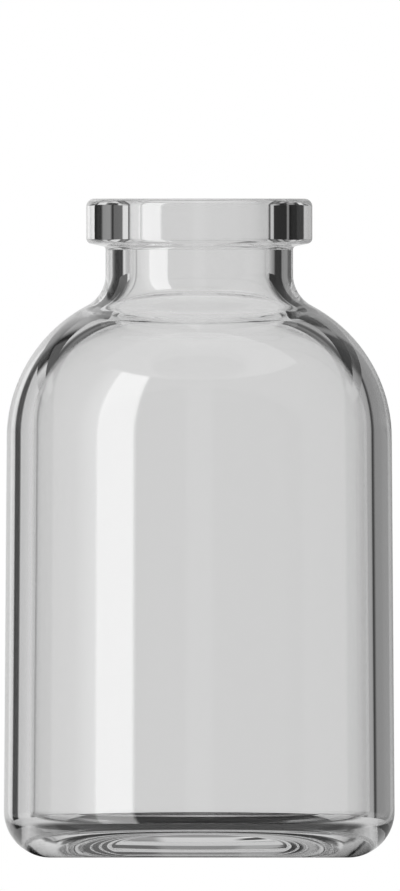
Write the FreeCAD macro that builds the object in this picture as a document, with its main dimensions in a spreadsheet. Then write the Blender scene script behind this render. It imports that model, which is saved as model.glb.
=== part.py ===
import FreeCAD, Part
import math
import os
import Sketcher

# Moulded glass injection vial, one solid of glass, open at the mouth.
# Lengths are in millimetres and slopes in degrees. The axis is Z and the vial stands on z = 0.
SIZES = {
    "overall_height": 58.0,
    # Outside of the body, which widens a little towards the heel.
    "heel_diameter": 34.45,
    "heel_round": 4.1,
    "shoulder_diameter": 33.9,
    "shoulder_drop": 21.1,
    "shoulder_round": 13.2,
    # Neck and the flange that a crimped cap grips.
    "neck_diameter": 16.5,
    "neck_round": 3.1,
    "flange_diameter": 19.9,
    "flange_edge_height": 3.9,
    "flange_slope": 12.0,
    "flange_top_round": 0.7,
    "flange_low_round": 0.5,
    "flange_root_round": 0.3,
    # Inside, from the mouth down to the floor.
    "bore_diameter": 12.3,
    "mouth_round": 0.5,
    "throat_round": 5.6,
    "wall": 2.2,
    "inner_shoulder_drop": 20.5,
    "inner_shoulder_round": 10.1,
    "floor_edge_height": 2.6,
    "floor_centre_height": 3.75,
    "floor_round": 1.3,
    # Hollow under the base, inside the ring that the vial stands on.
    "ring_width": 0.7,
    "hollow_slope": 60.0,
    "hollow_edge_height": 1.35,
    "hollow_centre_height": 1.6,
    "hollow_top_round": 0.6,
    "stand_round": 0.4,
}

NEAR = 1e-4


def size(name):
    """One size as a number, for the places where sketch elements start."""
    return SIZES[name]


def add_sheet(doc):
    """Writes every size to a sheet, each cell with its name as alias."""
    sheet = doc.addObject("Spreadsheet::Sheet", "Dimensions")
    for row, (name, number) in enumerate(SIZES.items(), 1):
        sheet.set("A%d" % row, name)
        sheet.set("B%d" % row, str(number))
        sheet.setAlias("B%d" % row, name)
    doc.recompute()
    return sheet


def bound(text):
    """Turns {name} in an expression into a reference to the cell of that name."""
    return text.replace("{", "Dimensions.").replace("}", "")


class Profile:
    """A closed half section in the XZ plane: x is the radius and y is the height."""

    def __init__(self, body, name):
        plane = [f for f in body.Origin.OriginFeatures if f.Role == "XZ_Plane"][0]
        self.sketch = body.newObject("Sketcher::SketchObject", name)
        self.sketch.AttachmentSupport = [(plane, "")]
        self.sketch.MapMode = "FlatFace"

    def line(self, start, end):
        return self.sketch.addGeometry(
            Part.LineSegment(FreeCAD.Vector(*start, 0), FreeCAD.Vector(*end, 0))
        )

    def arc(self, centre, radius, start, end):
        """Arc that runs anticlockwise between two angles in degrees."""
        circle = Part.Circle(FreeCAD.Vector(*centre, 0), FreeCAD.Vector(0, 0, 1), radius)
        return self.sketch.addGeometry(
            Part.ArcOfCircle(circle, math.radians(start), math.radians(end))
        )

    def rule(self, kind, *where):
        return self.sketch.addConstraint(Sketcher.Constraint(kind, *where))

    def drive(self, name, expression, kind, *where):
        """Adds a dimension and ties it to the sheet."""
        index = self.rule(kind, *where)
        self.sketch.renameConstraint(index, name)
        self.sketch.setExpression("Constraints." + name, bound(expression))

    def close(self):
        self.sketch.Document.recompute()
        if not self.sketch.FullyConstrained:
            raise RuntimeError(self.sketch.Name + " isn't fully constrained")
        return self.sketch


def arc_join(low_centre, low_round, high_x, high_round):
    """Height of the upper arc's centre and the angle of the joint, for two arcs that touch."""
    across = high_x - low_centre[0]
    reach = low_round + high_round
    rise = math.sqrt(reach**2 - across**2)
    return low_centre[1] + rise, math.degrees(math.atan2(rise, across))


def add_outside(body):
    """Half section of the outside: base, side, shoulder, neck and flange."""
    height = size("overall_height")
    heel = size("heel_diameter") / 2
    side = size("shoulder_diameter") / 2
    neck = size("neck_diameter") / 2
    flange = size("flange_diameter") / 2
    shoulder = (side - size("shoulder_round"), height - size("shoulder_drop"))
    root = neck + size("neck_round")
    root_height, turn = arc_join(shoulder, size("shoulder_round"), root, size("neck_round"))
    edge = height - size("flange_edge_height")
    under = edge - (flange - neck) * math.tan(math.radians(size("flange_slope")))

    p = Profile(body, "OutsideProfile")
    base = p.line((0, 0), (heel, 0))
    wall = p.line((heel, 0), (side, shoulder[1]))
    dome = p.arc(shoulder, size("shoulder_round"), 0, turn)
    curl = p.arc((root, root_height), size("neck_round"), 180, 180 + turn)
    stem = p.line((neck, root_height), (neck, under))
    slope = p.line((neck, under), (flange, edge))
    rim = p.line((flange, edge), (flange, height))
    top = p.line((flange, height), (0, height))
    axis = p.line((0, height), (0, 0))

    p.rule("Coincident", base, 1, -1, 1)
    p.rule("Coincident", base, 2, wall, 1)
    p.rule("Tangent", wall, 2, dome, 1)
    p.rule("Tangent", dome, 2, curl, 2)
    p.rule("Tangent", curl, 1, stem, 1)
    p.rule("Coincident", stem, 2, slope, 1)
    p.rule("Coincident", slope, 2, rim, 1)
    p.rule("Coincident", rim, 2, top, 1)
    p.rule("Coincident", top, 2, axis, 1)
    p.rule("Coincident", axis, 2, base, 1)
    p.rule("Horizontal", base)
    p.rule("Vertical", stem)
    p.rule("Vertical", rim)
    p.rule("Horizontal", top)
    p.rule("Vertical", axis)
    p.drive("heel", "{heel_diameter} / 2", "DistanceX", -1, 1, base, 2, heel)
    p.drive("side", "{shoulder_diameter} / 2", "DistanceX", -1, 1, wall, 2, side)
    side_top = "{overall_height} - {shoulder_drop}"
    p.drive("side_top", side_top, "DistanceY", -1, 1, wall, 2, shoulder[1])
    p.drive("shoulder", "{shoulder_round}", "Radius", dome, size("shoulder_round"))
    p.drive("curl", "{neck_round}", "Radius", curl, size("neck_round"))
    p.drive("neck", "{neck_diameter} / 2", "DistanceX", -1, 1, stem, 2, neck)
    p.drive("flange", "{flange_diameter} / 2", "DistanceX", -1, 1, rim, 2, flange)
    p.drive("height", "{overall_height}", "DistanceY", -1, 1, rim, 2, height)
    p.drive("rim", "{flange_edge_height}", "DistanceY", rim, 1, rim, 2, height - edge)
    p.drive("slope", "{flange_slope} * 1 deg", "Angle", slope, math.radians(size("flange_slope")))
    return p.close()


def add_inside(body):
    """Half section of the cavity: mouth, throat, inner shoulder, wall and domed floor."""
    height = size("overall_height")
    low = size("heel_diameter") / 2 - size("wall")
    high = size("shoulder_diameter") / 2 - size("wall")
    bore = size("bore_diameter") / 2
    shoulder = (high - size("inner_shoulder_round"), height - size("inner_shoulder_drop"))
    root = bore + size("throat_round")
    root_height, turn = arc_join(shoulder, size("inner_shoulder_round"), root, size("throat_round"))
    edge = size("floor_edge_height")
    rise = size("floor_centre_height") - edge
    sphere = (low**2 + rise**2) / (2 * rise)
    spread = math.degrees(math.asin(low / sphere))

    p = Profile(body, "InsideProfile")
    floor = p.arc((0, edge + rise - sphere), sphere, 90 - spread, 90)
    wall = p.line((low, edge), (high, shoulder[1]))
    dome = p.arc(shoulder, size("inner_shoulder_round"), 0, turn)
    throat = p.arc((root, root_height), size("throat_round"), 180, 180 + turn)
    mouth = p.line((bore, root_height), (bore, height))
    top = p.line((bore, height), (0, height))
    axis = p.line((0, height), (0, edge + rise))

    p.rule("PointOnObject", floor, 3, -2)
    p.rule("Coincident", floor, 1, wall, 1)
    p.rule("Tangent", wall, 2, dome, 1)
    p.rule("Tangent", dome, 2, throat, 2)
    p.rule("Tangent", throat, 1, mouth, 1)
    p.rule("Coincident", mouth, 2, top, 1)
    p.rule("Coincident", top, 2, axis, 1)
    p.rule("Coincident", axis, 2, floor, 2)
    p.rule("Vertical", mouth)
    p.rule("Horizontal", top)
    p.rule("PointOnObject", top, 2, -2)
    p.rule("PointOnObject", floor, 2, -2)
    p.drive("low", "{heel_diameter} / 2 - {wall}", "DistanceX", -1, 1, wall, 1, low)
    p.drive("high", "{shoulder_diameter} / 2 - {wall}", "DistanceX", -1, 1, wall, 2, high)
    wall_top = "{overall_height} - {inner_shoulder_drop}"
    p.drive("wall_top", wall_top, "DistanceY", -1, 1, wall, 2, shoulder[1])
    p.drive("dome", "{inner_shoulder_round}", "Radius", dome, size("inner_shoulder_round"))
    p.drive("throat", "{throat_round}", "Radius", throat, size("throat_round"))
    p.drive("bore", "{bore_diameter} / 2", "DistanceX", -1, 1, mouth, 2, bore)
    p.drive("height", "{overall_height}", "DistanceY", -1, 1, mouth, 2, height)
    p.drive("floor_edge", "{floor_edge_height}", "DistanceY", -1, 1, wall, 1, edge)
    p.drive("floor_mid", "{floor_centre_height}", "DistanceY", -1, 1, floor, 2, edge + rise)
    return p.close()


def hollow_foot():
    """Radius of the hollow where it meets the table, inside the ring that the vial stands on."""
    return size("heel_diameter") / 2 - size("heel_round") - size("ring_width")


def add_hollow(body):
    """Half section of the hollow under the base: sloped side and shallow dome."""
    foot = hollow_foot()
    edge = size("hollow_edge_height")
    rise = size("hollow_centre_height") - edge
    inner = foot - edge / math.tan(math.radians(size("hollow_slope")))
    sphere = (inner**2 + rise**2) / (2 * rise)
    spread = math.degrees(math.asin(inner / sphere))

    p = Profile(body, "HollowProfile")
    base = p.line((0, 0), (foot, 0))
    side = p.line((foot, 0), (inner, edge))
    dome = p.arc((0, edge + rise - sphere), sphere, 90 - spread, 90)
    axis = p.line((0, edge + rise), (0, 0))

    p.rule("Coincident", base, 1, -1, 1)
    p.rule("Horizontal", base)
    p.rule("Coincident", base, 2, side, 1)
    p.rule("Coincident", side, 2, dome, 1)
    p.rule("PointOnObject", dome, 3, -2)
    p.rule("PointOnObject", dome, 2, -2)
    p.rule("Coincident", dome, 2, axis, 1)
    p.rule("Coincident", axis, 2, base, 1)
    reach = "{heel_diameter} / 2 - {heel_round} - {ring_width}"
    p.drive("foot", reach, "DistanceX", -1, 1, base, 2, foot)
    slope = math.radians(180 - size("hollow_slope"))
    p.drive("slope", "(180 - {hollow_slope}) * 1 deg", "Angle", side, slope)
    p.drive("edge", "{hollow_edge_height}", "DistanceY", -1, 1, side, 2, edge)
    p.drive("mid", "{hollow_centre_height}", "DistanceY", -1, 1, dome, 2, edge + rise)
    return p.close()


def turned(body, kind, name, sketch):
    """Turns a half section once around the axis, to add or to remove glass."""
    before = body.Shape.Volume if body.Tip else 0.0
    feature = body.newObject(kind, name)
    feature.Profile = sketch
    feature.ReferenceAxis = (sketch, ["V_Axis"])
    feature.Angle = 360
    sketch.Visibility = False
    body.Document.recompute()
    change = feature.Shape.Volume - before
    if (change > 0) != (kind == "PartDesign::Revolution"):
        raise RuntimeError("%s changed the volume by %.1f" % (name, change))
    return feature


def circle_edge(feature, radius, height):
    """Name of the circular edge with this radius at this height."""
    for number, edge in enumerate(feature.Shape.Edges, 1):
        if edge.Degenerated or not isinstance(edge.Curve, Part.Circle):
            continue
        curve = edge.Curve
        if abs(curve.Radius - radius) < NEAR and abs(curve.Center.z - height) < NEAR:
            return "Edge%d" % number
    raise RuntimeError("no edge of radius %.3f at height %.3f" % (radius, height))


def rounded(body, name, radius_name, radius, height):
    """Rounds one circular edge of the newest feature."""
    base = body.Tip
    fillet = body.newObject("PartDesign::Fillet", name)
    fillet.Base = (base, [circle_edge(base, radius, height)])
    fillet.setExpression("Radius", bound("{%s}" % radius_name))
    body.Document.recompute()
    return fillet


def build_vial(doc):
    """The whole vial as one body."""
    body = doc.addObject("PartDesign::Body", "Vial")
    body.Label = "vial"
    height = size("overall_height")
    edge = height - size("flange_edge_height")
    flange = size("flange_diameter") / 2
    neck = size("neck_diameter") / 2
    root = edge - (flange - neck) * math.tan(math.radians(size("flange_slope")))
    low = size("heel_diameter") / 2 - size("wall")

    turned(body, "PartDesign::Revolution", "Outside", add_outside(body))
    rounded(body, "Heel", "heel_round", size("heel_diameter") / 2, 0)
    rounded(body, "FlangeTop", "flange_top_round", flange, height)
    rounded(body, "FlangeLow", "flange_low_round", flange, edge)
    rounded(body, "FlangeRoot", "flange_root_round", neck, root)

    turned(body, "PartDesign::Groove", "Cavity", add_inside(body))
    rounded(body, "FloorCorner", "floor_round", low, size("floor_edge_height"))
    rounded(body, "Mouth", "mouth_round", size("bore_diameter") / 2, height)

    turned(body, "PartDesign::Groove", "BaseHollow", add_hollow(body))
    foot = hollow_foot()
    inner = foot - size("hollow_edge_height") / math.tan(math.radians(size("hollow_slope")))
    rounded(body, "HollowTop", "hollow_top_round", inner, size("hollow_edge_height"))
    rounded(body, "StandRing", "stand_round", foot, 0)
    return body


def check(doc, body):
    """Stops the build if a feature failed or the body isn't one sound solid."""
    for item in doc.Objects:
        if "Invalid" in item.State or "Error" in item.State:
            raise RuntimeError(item.Name + " failed")
    shape = body.Shape
    if shape.isNull() or not shape.isValid() or len(shape.Solids) != 1:
        raise RuntimeError("the vial isn't one sound solid")


os.makedirs("parts", exist_ok=True)
document = FreeCAD.newDocument("Vial")
add_sheet(document)
vial = build_vial(document)
check(document, vial)
vial.Shape.exportStep("parts/vial.step")
print("glass volume %.1f mm3" % vial.Shape.Volume)
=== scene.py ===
import math

import bmesh
import bpy
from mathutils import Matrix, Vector


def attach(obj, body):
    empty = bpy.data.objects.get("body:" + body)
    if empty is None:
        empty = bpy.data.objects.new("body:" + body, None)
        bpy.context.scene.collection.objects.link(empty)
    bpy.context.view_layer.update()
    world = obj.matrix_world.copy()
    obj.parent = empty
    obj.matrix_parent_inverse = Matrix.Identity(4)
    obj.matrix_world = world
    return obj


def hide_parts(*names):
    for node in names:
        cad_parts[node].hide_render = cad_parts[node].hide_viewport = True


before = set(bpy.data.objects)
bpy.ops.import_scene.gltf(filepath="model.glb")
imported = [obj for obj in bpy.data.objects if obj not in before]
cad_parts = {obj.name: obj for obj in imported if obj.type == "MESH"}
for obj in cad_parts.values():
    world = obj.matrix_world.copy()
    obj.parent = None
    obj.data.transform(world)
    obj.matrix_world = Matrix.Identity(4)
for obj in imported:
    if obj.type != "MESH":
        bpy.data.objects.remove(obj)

MM = 0.001
HALF_TURN = 180
WHITE = (1, 1, 1, 1)

# Sizes of the vial in millimetres, the same as in the solid model.
HEIGHT = 58.0
HEEL_RADIUS = 17.225
HEEL_ROUND = 4.1
SHOULDER_RADIUS = 16.95
SHOULDER_DROP = 21.1
SHOULDER_ROUND = 13.2
NECK_RADIUS = 8.25
NECK_ROUND = 3.1
FLANGE_RADIUS = 9.95
FLANGE_EDGE_HEIGHT = 3.9
FLANGE_SLOPE = math.radians(12.0)
FLANGE_TOP_ROUND = 0.7
FLANGE_LOW_ROUND = 0.5
FLANGE_ROOT_ROUND = 0.3
BORE_RADIUS = 6.15
MOUTH_ROUND = 0.5
THROAT_ROUND = 5.6
WALL = 2.2
INNER_SHOULDER_DROP = 20.5
INNER_SHOULDER_ROUND = 10.1
FLOOR_EDGE_HEIGHT = 2.6
FLOOR_CENTRE_HEIGHT = 3.75
FLOOR_ROUND = 1.3
RING_WIDTH = 0.7
HOLLOW_SLOPE = math.radians(60.0)
HOLLOW_EDGE_HEIGHT = 1.35
HOLLOW_CENTRE_HEIGHT = 1.6
HOLLOW_TOP_ROUND = 0.6
STAND_ROUND = 0.4

# How finely the mesh follows the round form.
SEGMENTS = 280
ARC_STEP = math.radians(3.0)
LEAST_ARC_STEPS = 4
NEAR_ROUND = 0.04
LONG_STRETCH = 4 * NEAR_ROUND
SAME_POINT = 1e-6

# The glass: a slight tint, slight waves and a slightly uneven polish.
GLASS_COLOUR = (0.9, 0.9, 0.9, 1)
GLASS_INDEX = 1.5
WAVE_SCALE = 90.0
WAVE_DETAIL = 1.0
WAVE_STRENGTH = 0.1
WAVE_HEIGHT = 0.002
DULLEST_POLISH = 0.01

# Light that has crossed this many surfaces of the glass has been in the hollow inside.
HOLLOW_CROSSINGS = 3
# How far a level curve reaches from end to end, in degrees or in millimetres, with 0 in its middle.
CURVE_REACH = 360

# Levels of the studio, as (degrees, level) with straight lines between, where white is 1.
# Degrees go round from straight behind the vial, to the left below 0 and to the right above it.
# Light that has only crossed thick glass sees these panels, with dark flags between them.
PANELS = [
    (-180, .15), (-138, .15), (-122, .3), (-120, .1), (-110, .1), (-108, .6), (-72, .8), (-70, .1),
    (-60, .3), (-54, .1), (-51, .3), (-48, 1), (-31, .9), (-29, .02), (-20, .02), (-18, 1.3),
    (0, 1.2), (6, .6), (10, .42), (35, .35), (37.5, .02), (39.5, .02), (41, .5), (48, .6),
    (52, .15), (56, .1), (60, .3), (70, .1), (72, .8), (108, .6), (110, .1), (120, .1),
    (122, .3), (138, .15), (180, .15),
]
# The panels are oval, and this many times as wide as they are high.
PANEL_OVAL = 1.45
# Where light goes hardly to the side, as the sideways part of its direction, one level counts.
MIDDLE_FADE = (0.12, 0.18)
MIDDLE_LEVEL = 0.85
# Light mirrored more than once sees the panels at this share, and one level above and below.
DEEP_SHARE = 0.4
STEEP_FADE = (8, 14)
STEEP_LEVEL = 0.8

# What the outer surface mirrors.
SHEEN = [
    (-180, .08), (-141, .08), (-140, 8), (-116, 8), (-115, 3.5), (-100, 1.2), (-70, .6),
    (-60, .12), (-32, .12), (-26, 1.1), (0, 1), (8, .4), (60, .3), (120, .08), (180, .08),
]
# In front, the top of the softbox and the level above it.
SOFTBOX_TOP_FADE = (45, 47)
ABOVE_SOFTBOX_LEVEL = 1.5

# What shows through the hollow inside.
THROUGH = [
    (-180, .95), (-25.2, 1), (-24.2, .35), (-23, .35), (-22.2, 1), (0, 1.04), (12, 1),
    (36, .76), (60, .66), (120, .9), (180, .95),
]
# Mirrored light that leaves the hollow between these heights is dark.
MIRRORED_LOW_FADE = (1.5, 2.5)
MIRRORED_HIGH_FADE = (18, 24)

# Backdrops behind the neck and the flange: lower and upper edge in millimetres.
BACKDROP_DISTANCE = 20
BACKDROP_REACH = 60
NECK_BACKDROP = (49.0, 53.9)
FLANGE_BACKDROP = (53.9, 59.0)
# Their levels across, as (millimetres from the middle, level).
NECK_BANDS = [
    (-60, .4), (-36, .55), (-30, .85), (-27, .01), (-15, .02), (-13.5, .12), (-11.5, .2),
    (-10, .95), (1.8, .9), (2.8, 0), (8, 0), (9, .28), (17, .28), (18, .02), (29, .02),
    (32, .25), (45, .55), (60, .5),
]
FLANGE_BANDS = [
    (-60, .8), (-41, .8), (-38, .12), (-22.4, .12), (-21, 0), (-19, 0), (-17.5, .3), (-8, .3),
    (-6, .02), (15.5, 0), (16.5, .25), (18.3, .25), (19.5, .02), (45, .03), (48, .6), (60, .6),
]
MIRRORED_FLANGE_BANDS = [(-60, .7), (-15, .7), (-10, .3), (10, .3), (15, 1.2), (60, 1.2)]

# The floor, which fades out between two distances from the axis in millimetres.
DISC_SEGMENTS = 96
FLOOR_RADIUS = 300
FLOOR_FADE = (60, 120)
FLOOR_COLOUR = (.9, .9, .9, 1)
FLOOR_ROUGHNESS = 0.6

# The contact shadow in millimetres: dark outside the middle, pale behind and at its rim.
CONTACT_RADIUS = 22
CONTACT_HEIGHT = -0.01
CONTACT_DARK_FADE = (9, 12)
CONTACT_MIDDLE_LEVEL = 0.35
CONTACT_DARK_LEVEL = 0.02
CONTACT_BEHIND_FADE = (-4, 0)
CONTACT_PALE_LEVEL = 0.75
CONTACT_RIM_FADE = (15, 17.5)
CONTACT_RIM_LEVEL = 0.7

# The photo, in pixels, and its scale in millimetres for each pixel.
PHOTO_WIDTH = 400
PHOTO_HEIGHT = 891
AXIS_COLUMN = 199.3
GROUND_ROW = 857.6
PIXEL = 0.088
CAMERA_DISTANCE = 1.0
BOUNCES = 64

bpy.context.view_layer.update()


class Outline:
    """Half section of the glass, as points (radius, height) in millimetres."""

    def __init__(self):
        self.points = []

    def to(self, point):
        """Adds a point, with one more close to each end of a long straight stretch."""
        if self.points:
            last = Vector(self.points[-1])
            step = Vector(point) - last
            if step.length < SAME_POINT:
                return
            if step.length > LONG_STRETCH:
                near = step.normalized() * NEAR_ROUND
                self.points.append(tuple(last + near))
                self.points.append(tuple(Vector(point) - near))
        self.points.append(tuple(point))

    def arc(self, centre, radius, start, end):
        """Goes round a centre from one angle to another, both in radians."""
        self.to(on_circle(centre, radius, start))
        steps = max(LEAST_ARC_STEPS, math.ceil(abs(end - start) / ARC_STEP))
        for i in range(1, steps + 1):
            angle = start + (end - start) * i / steps
            self.points.append(on_circle(centre, radius, angle))


def on_circle(centre, radius, angle):
    return (centre[0] + radius * math.cos(angle), centre[1] + radius * math.sin(angle))


def corner(outline, before, at, after, radius):
    """Goes to a corner and round it, with an arc that touches both straight sides."""
    at = Vector(at)
    inward = (Vector(before) - at).normalized()
    onward = (Vector(after) - at).normalized()
    half = inward.angle(onward) / 2
    middle = (inward + onward).normalized()
    centre = at + middle * (radius / math.sin(half))
    first = at + inward * (radius / math.tan(half)) - centre
    last = at + onward * (radius / math.tan(half)) - centre
    start = math.atan2(first.y, first.x)
    turn = math.atan2(first.x * last.y - first.y * last.x, first.dot(last))
    outline.arc(centre, radius, start, start + turn)


def arc_join(low_centre, low_round, high_x, high_round):
    """Height of the upper arc's centre and the angle of the joint, for two arcs that touch."""
    across = high_x - low_centre[0]
    rise = math.sqrt((low_round + high_round) ** 2 - across**2)
    return low_centre[1] + rise, math.atan2(rise, across)


def hollow_part(outline):
    """From the axis under the base, over the shallow dome and down to the ring it stands on."""
    foot = (HEEL_RADIUS - HEEL_ROUND - RING_WIDTH, 0)
    edge = (foot[0] - HOLLOW_EDGE_HEIGHT / math.tan(HOLLOW_SLOPE), HOLLOW_EDGE_HEIGHT)
    rise = HOLLOW_CENTRE_HEIGHT - HOLLOW_EDGE_HEIGHT
    sphere = (edge[0] ** 2 + rise**2) / (2 * rise)
    spread = math.asin((edge[0] - HOLLOW_TOP_ROUND) / sphere)
    centre = (0, HOLLOW_CENTRE_HEIGHT - sphere)
    outline.arc(centre, sphere, math.pi / 2, math.pi / 2 - spread)
    corner(outline, outline.points[-1], edge, foot, HOLLOW_TOP_ROUND)
    corner(outline, edge, foot, (HEEL_RADIUS, 0), STAND_ROUND)


def outside_part(outline):
    """Heel, side, shoulder, neck and flange, up to the flat top."""
    shoulder = (SHOULDER_RADIUS - SHOULDER_ROUND, HEIGHT - SHOULDER_DROP)
    root = NECK_RADIUS + NECK_ROUND
    root_height, turn = arc_join(shoulder, SHOULDER_ROUND, root, NECK_ROUND)
    edge = HEIGHT - FLANGE_EDGE_HEIGHT
    under = edge - (FLANGE_RADIUS - NECK_RADIUS) * math.tan(FLANGE_SLOPE)
    side = (SHOULDER_RADIUS, shoulder[1])
    corner(outline, (0, 0), (HEEL_RADIUS, 0), side, HEEL_ROUND)
    outline.arc(shoulder, SHOULDER_ROUND, 0, turn)
    outline.arc((root, root_height), NECK_ROUND, math.pi + turn, math.pi)
    neck = (NECK_RADIUS, under)
    low = (FLANGE_RADIUS, edge)
    top = (FLANGE_RADIUS, HEIGHT)
    corner(outline, outline.points[-1], neck, low, FLANGE_ROOT_ROUND)
    corner(outline, neck, low, top, FLANGE_LOW_ROUND)
    corner(outline, low, top, (0, HEIGHT), FLANGE_TOP_ROUND)


def inside_part(outline):
    """Mouth, bore, throat, inner shoulder, wall and domed floor, back to the axis."""
    low = HEEL_RADIUS - WALL
    high = SHOULDER_RADIUS - WALL
    shoulder = (high - INNER_SHOULDER_ROUND, HEIGHT - INNER_SHOULDER_DROP)
    root = BORE_RADIUS + THROAT_ROUND
    root_height, turn = arc_join(shoulder, INNER_SHOULDER_ROUND, root, THROAT_ROUND)
    mouth = (BORE_RADIUS, HEIGHT)
    corner(outline, (FLANGE_RADIUS, HEIGHT), mouth, (BORE_RADIUS, 0), MOUTH_ROUND)
    outline.arc((root, root_height), THROAT_ROUND, math.pi, math.pi + turn)
    outline.arc(shoulder, INNER_SHOULDER_ROUND, turn, 0)
    rise = FLOOR_CENTRE_HEIGHT - FLOOR_EDGE_HEIGHT
    sphere = (low**2 + rise**2) / (2 * rise)
    spread = math.asin((low - FLOOR_ROUND) / sphere)
    centre = (0, FLOOR_CENTRE_HEIGHT - sphere)
    floor_end = on_circle(centre, sphere, math.pi / 2 - spread)
    corner(outline, outline.points[-1], (low, FLOOR_EDGE_HEIGHT), floor_end, FLOOR_ROUND)
    outline.arc(centre, sphere, math.pi / 2 - spread, math.pi / 2)


def lathe(name, points):
    """Turns a half section, which starts and ends on the axis, into a closed mesh."""
    bm = bmesh.new()
    rings = []
    for radius, height in points[1:-1]:
        ring = []
        for i in range(SEGMENTS):
            angle = 2 * math.pi * i / SEGMENTS
            x, y = radius * math.cos(angle), radius * math.sin(angle)
            ring.append(bm.verts.new((x * MM, y * MM, height * MM)))
        rings.append(ring)
    first = bm.verts.new((0, 0, points[0][1] * MM))
    last = bm.verts.new((0, 0, points[-1][1] * MM))
    for i in range(SEGMENTS):
        j = (i + 1) % SEGMENTS
        bm.faces.new((first, rings[0][j], rings[0][i]))
        bm.faces.new((last, rings[-1][i], rings[-1][j]))
        for low, high in zip(rings, rings[1:]):
            bm.faces.new((low[i], low[j], high[j], high[i]))
    bmesh.ops.recalc_face_normals(bm, faces=bm.faces)
    mesh = bpy.data.meshes.new(name)
    bm.to_mesh(mesh)
    bm.free()
    mesh.shade_smooth()
    piece = bpy.data.objects.new(name, mesh)
    bpy.context.scene.collection.objects.link(piece)
    return piece


class Nodes:
    """Short forms for the nodes of one tree."""

    def __init__(self, tree):
        self.tree = tree

    def add(self, kind, **values):
        node = self.tree.nodes.new(kind)
        for name, value in values.items():
            setattr(node, name, value)
        return node

    def link(self, source, target):
        if hasattr(source, "is_output"):
            self.tree.links.new(source, target)
        else:
            target.default_value = source

    def math(self, operation, *terms):
        node = self.add("ShaderNodeMath", operation=operation)
        for socket, term in zip(node.inputs, terms):
            self.link(term, socket)
        return node.outputs[0]

    def rise(self, value, low, high):
        """0 below low, 1 above high, smooth between."""
        node = self.add("ShaderNodeMapRange", interpolation_type="SMOOTHSTEP", clamp=True)
        self.link(value, node.inputs["Value"])
        self.link(low, node.inputs["From Min"])
        self.link(high, node.inputs["From Max"])
        return node.outputs["Result"]

    def mix(self, share, first, second):
        node = self.add("ShaderNodeMix", data_type="FLOAT")
        self.link(share, node.inputs[0])
        self.link(first, node.inputs[2])
        self.link(second, node.inputs[3])
        return node.outputs[0]

    def ramp(self, value, stops):
        """Level by value: stops are (value, level), with straight lines between them."""
        node = self.add("ShaderNodeFloatCurve")
        curve = node.mapping.curves[0]
        node.mapping.use_clip = False
        places = [(at / CURVE_REACH + 0.5, level) for at, level in stops]
        curve.points[0].location = places[0]
        curve.points[1].location = places[-1]
        for place in places[1:-1]:
            curve.points.new(*place)
        for point in curve.points:
            point.handle_type = "VECTOR"
        node.mapping.update()
        self.link(self.math("MULTIPLY_ADD", value, 1 / CURVE_REACH, 0.5), node.inputs["Value"])
        return node.outputs["Value"]

    def degrees(self, radians):
        return self.math("MULTIPLY", radians, math.degrees(1))

    def place(self, kind):
        """Vector of one kind of coordinates."""
        return self.add("ShaderNodeTexCoord").outputs[kind]

    def split(self, vector):
        node = self.add("ShaderNodeSeparateXYZ")
        self.link(vector, node.inputs[0])
        return node.outputs

    def count(self, kind, least):
        """1 where a count of the light's path has come to at least this whole number, else 0."""
        path = self.add("ShaderNodeLightPath")
        return self.math("GREATER_THAN", path.outputs[kind], least - 0.5)

    def crossings(self, least):
        """1 for light that has crossed at least this many surfaces of the glass, else 0."""
        return self.count("Transmission Depth", least)

    def mirrorings(self, least):
        """1 for light that was mirrored at least this many times, else 0."""
        return self.count("Glossy Depth", least)

    def thick_glass_only(self):
        """1 for light that has crossed glass, but not the hollow inside, else 0."""
        return self.math("SUBTRACT", self.crossings(1), self.crossings(HOLLOW_CROSSINGS))

    def blend(self, share, first, second):
        """Output of a mix of two shaders."""
        node = self.add("ShaderNodeMixShader")
        self.link(share, node.inputs[0])
        self.link(first.outputs[0], node.inputs[1])
        self.link(second.outputs[0], node.inputs[2])
        return node.outputs[0]

    def glow(self, level):
        node = self.add("ShaderNodeEmission")
        self.link(level, node.inputs["Strength"])
        return node

    def surface(self, shader):
        self.link(shader, self.add("ShaderNodeOutputMaterial").inputs["Surface"])


def glass_material():
    """Clear glass. Its blown surface waves very slightly."""
    glass = bpy.data.materials.new("clear_glass")
    glass.use_nodes = True
    tree = glass.node_tree
    n = Nodes(tree)
    shader = tree.nodes["Principled BSDF"]
    shader.inputs["Base Color"].default_value = GLASS_COLOUR
    shader.inputs["IOR"].default_value = GLASS_INDEX
    shader.inputs["Transmission Weight"].default_value = 1.0
    waves = n.add("ShaderNodeTexNoise")
    waves.inputs["Scale"].default_value = WAVE_SCALE
    waves.inputs["Detail"].default_value = WAVE_DETAIL
    n.link(n.place("Object"), waves.inputs["Vector"])
    bump = n.add("ShaderNodeBump")
    bump.inputs["Strength"].default_value = WAVE_STRENGTH
    bump.inputs["Distance"].default_value = WAVE_HEIGHT * MM
    n.link(waves.outputs[0], bump.inputs["Height"])
    n.link(bump.outputs["Normal"], shader.inputs["Normal"])
    polish = n.add("ShaderNodeMapRange")
    polish.inputs["To Min"].default_value = 0.0
    polish.inputs["To Max"].default_value = DULLEST_POLISH
    n.link(waves.outputs[0], polish.inputs["Value"])
    n.link(polish.outputs["Result"], shader.inputs["Roughness"])
    return glass


def make_vial():
    outline = Outline()
    hollow_part(outline)
    outside_part(outline)
    inside_part(outline)
    vial = lathe("vial_glass", outline.points)
    vial.data.materials.append(glass_material())
    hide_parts("vial")
    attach(vial, "root")


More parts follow.
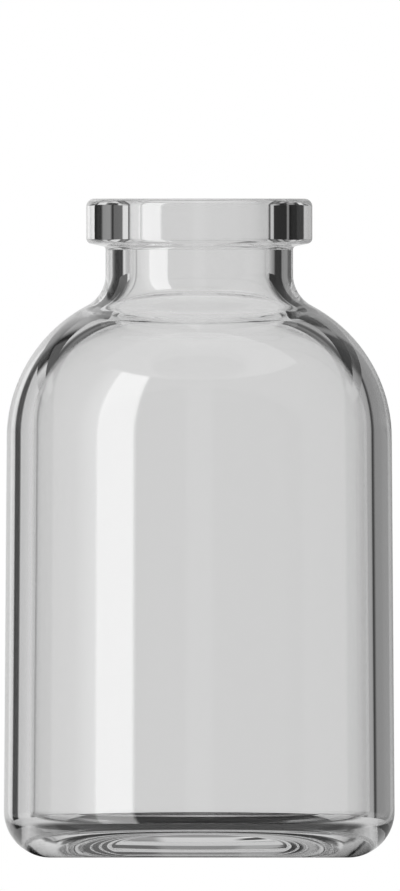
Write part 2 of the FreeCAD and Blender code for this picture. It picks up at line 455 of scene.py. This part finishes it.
class Studio:
    """The studio round the vial, as one level for each direction and kind of light."""

    def __init__(self, nodes):
        self.nodes = n = nodes
        self.x, self.y, self.z = n.split(n.place("Generated"))
        self.azimuth = n.degrees(n.math("ARCTAN2", self.x, self.y))
        self.height = n.degrees(n.math("ARCSINE", self.z))

    def oval(self):
        """Degrees from straight behind in the panels' oval measure, below 0 on the left."""
        n = self.nodes
        squashed = n.math("MULTIPLY", self.z, PANEL_OVAL)
        squares = n.math("MULTIPLY_ADD", squashed, squashed, n.math("MULTIPLY", self.x, self.x))
        off = n.degrees(n.math("ARCSINE", n.math("MINIMUM", n.math("SQRT", squares), 1)))
        off = n.mix(n.math("LESS_THAN", self.y, 0), off, n.math("SUBTRACT", HALF_TURN, off))
        return n.math("MULTIPLY", off, n.math("SIGN", self.x))

    def panels(self):
        """For light that has only crossed thick glass."""
        n = self.nodes
        beside = n.rise(n.math("ABSOLUTE", self.x), *MIDDLE_FADE)
        level = n.mix(beside, MIDDLE_LEVEL, n.ramp(self.oval(), PANELS))
        steep = n.rise(n.math("ABSOLUTE", self.height), *STEEP_FADE)
        deep_level = n.mix(steep, n.math("MULTIPLY", level, DEEP_SHARE), STEEP_LEVEL)
        return n.mix(n.mirrorings(2), level, deep_level)

    def sheen(self):
        """For light mirrored by the outer surface."""
        n = self.nodes
        above = n.rise(self.height, *SOFTBOX_TOP_FADE)
        above = n.math("MULTIPLY", above, n.math("LESS_THAN", self.y, 0))
        return n.mix(above, n.ramp(self.azimuth, SHEEN), ABOVE_SOFTBOX_LEVEL)

    def through(self):
        """For light that has been through the hollow inside."""
        n = self.nodes
        low = n.rise(self.height, *MIRRORED_LOW_FADE)
        upward = n.math("SUBTRACT", low, n.rise(self.height, *MIRRORED_HIGH_FADE))
        dark = n.math("MULTIPLY", n.mirrorings(1), upward)
        return n.mix(dark, n.ramp(self.azimuth, THROUGH), 0)


def make_world():
    """White to the camera. Glass sees the studio."""
    world = bpy.data.worlds.new("studio")
    bpy.context.scene.world = world
    world.use_nodes = True
    tree = world.node_tree
    n = Nodes(tree)
    studio = Studio(n)
    plain = tree.nodes["Background"]
    plain.inputs["Color"].default_value = WHITE
    level = n.mix(n.crossings(1), studio.sheen(), studio.panels())
    level = n.mix(n.crossings(HOLLOW_CROSSINGS), level, studio.through())
    light = n.add("ShaderNodeBackground")
    n.link(level, light.inputs["Strength"])
    path = n.add("ShaderNodeLightPath")
    in_glass = n.math("MAXIMUM", path.outputs["Is Glossy Ray"], path.outputs["Is Transmission Ray"])
    n.link(n.blend(in_glass, plain, light), tree.nodes["World Output"].inputs[0])


def stage_piece(name, mesh, height=0, seen_by_camera=False):
    """Puts up a piece of the studio with a fresh material, and returns the material's nodes."""
    material = bpy.data.materials.new(name)
    material.use_nodes = True
    material.node_tree.nodes.clear()
    mesh.materials.append(material)
    piece = bpy.data.objects.new(name, mesh)
    bpy.context.scene.collection.objects.link(piece)
    piece.location.z = height * MM
    piece.visible_camera = piece.visible_diffuse = piece.visible_shadow = seen_by_camera
    piece.visible_glossy = piece.visible_transmission = not seen_by_camera
    return Nodes(material.node_tree)


def make_backdrop(name, edges, bands, mirrored_bands):
    """Banded backdrop behind the vial, which shows only in the thick glass at the sides."""
    low, high = [edge * MM for edge in edges]
    reach = BACKDROP_REACH * MM
    back = BACKDROP_DISTANCE * MM
    verts = [(-reach, back, low), (reach, back, low), (reach, back, high), (-reach, back, high)]
    mesh = bpy.data.meshes.new(name)
    mesh.from_pydata(verts, [], [(0, 1, 2, 3)])
    n = stage_piece(name, mesh)
    across = n.math("DIVIDE", n.split(n.place("Object"))[0], MM)
    level = n.mix(n.mirrorings(1), n.ramp(across, mirrored_bands), n.ramp(across, bands))
    level = n.mix(n.mirrorings(2), level, n.math("MULTIPLY", level, DEEP_SHARE))
    clear = n.add("ShaderNodeBsdfTransparent")
    n.surface(n.blend(n.thick_glass_only(), clear, n.glow(level)))


def disc(name, radius):
    mesh = bpy.data.meshes.new(name)
    bm = bmesh.new()
    bmesh.ops.create_circle(bm, cap_ends=True, segments=DISC_SEGMENTS, radius=radius * MM)
    bm.to_mesh(mesh)
    bm.free()
    return mesh


def from_axis(nodes):
    """Distance from the axis in millimetres."""
    length = nodes.add("ShaderNodeVectorMath", operation="LENGTH")
    nodes.link(nodes.place("Object"), length.inputs[0])
    return nodes.math("DIVIDE", length.outputs["Value"], MM)


def make_floor():
    """Pale floor that fades into the white around it."""
    n = stage_piece("floor", disc("floor", FLOOR_RADIUS), seen_by_camera=True)
    pale = n.add("ShaderNodeBsdfPrincipled")
    pale.inputs["Base Color"].default_value = FLOOR_COLOUR
    pale.inputs["Roughness"].default_value = FLOOR_ROUGHNESS
    clear = n.add("ShaderNodeBsdfTransparent")
    n.surface(n.blend(n.rise(from_axis(n), *FLOOR_FADE), pale, clear))


def make_contact():
    """The floor under the vial as its glass sees it: dark round the ring that it stands on."""
    n = stage_piece("contact_shadow", disc("contact_shadow", CONTACT_RADIUS), CONTACT_HEIGHT)
    radius = from_axis(n)
    deep = n.mirrorings(2)
    dark = n.rise(radius, *CONTACT_DARK_FADE)
    edges = n.mix(dark, CONTACT_MIDDLE_LEVEL, CONTACT_DARK_LEVEL)
    low, high = [edge * MM for edge in CONTACT_BEHIND_FADE]
    behind = n.rise(n.split(n.place("Object"))[1], low, high)
    edges = n.mix(n.math("MAXIMUM", deep, behind), edges, CONTACT_PALE_LEVEL)
    level = n.mix(n.thick_glass_only(), n.mix(deep, 0.0, CONTACT_PALE_LEVEL), edges)
    level = n.mix(n.rise(radius, *CONTACT_RIM_FADE), level, CONTACT_RIM_LEVEL)
    n.surface(n.glow(level).outputs[0])


def make_camera():
    """Level view from the front with parallel rays, on the scale of the photo."""
    pixel = PIXEL * MM
    across = (PHOTO_WIDTH / 2 - AXIS_COLUMN) * pixel
    up = (GROUND_ROW - PHOTO_HEIGHT / 2) * pixel
    camera_data = bpy.data.cameras.new("camera")
    camera = bpy.data.objects.new("camera", camera_data)
    bpy.context.scene.collection.objects.link(camera)
    camera_data.type = "ORTHO"
    camera_data.ortho_scale = PHOTO_HEIGHT * pixel
    camera.location = (across, -CAMERA_DISTANCE, up)
    camera.rotation_euler = (math.pi / 2, 0, 0)
    bpy.context.scene.camera = camera


def set_render():
    """Plain colours, and enough bounces for light that runs along inside the thick glass."""
    scene = bpy.context.scene
    scene.view_settings.view_transform = "Standard"
    scene.cycles.max_bounces = BOUNCES
    scene.cycles.glossy_bounces = BOUNCES
    scene.cycles.transmission_bounces = BOUNCES
    scene.cycles.transparent_max_bounces = BOUNCES


make_vial()
make_world()
make_backdrop("neck_backdrop", NECK_BACKDROP, NECK_BANDS, NECK_BANDS)
make_backdrop("flange_backdrop", FLANGE_BACKDROP, FLANGE_BANDS, MIRRORED_FLANGE_BANDS)
make_floor()
make_contact()
make_camera()
set_render()
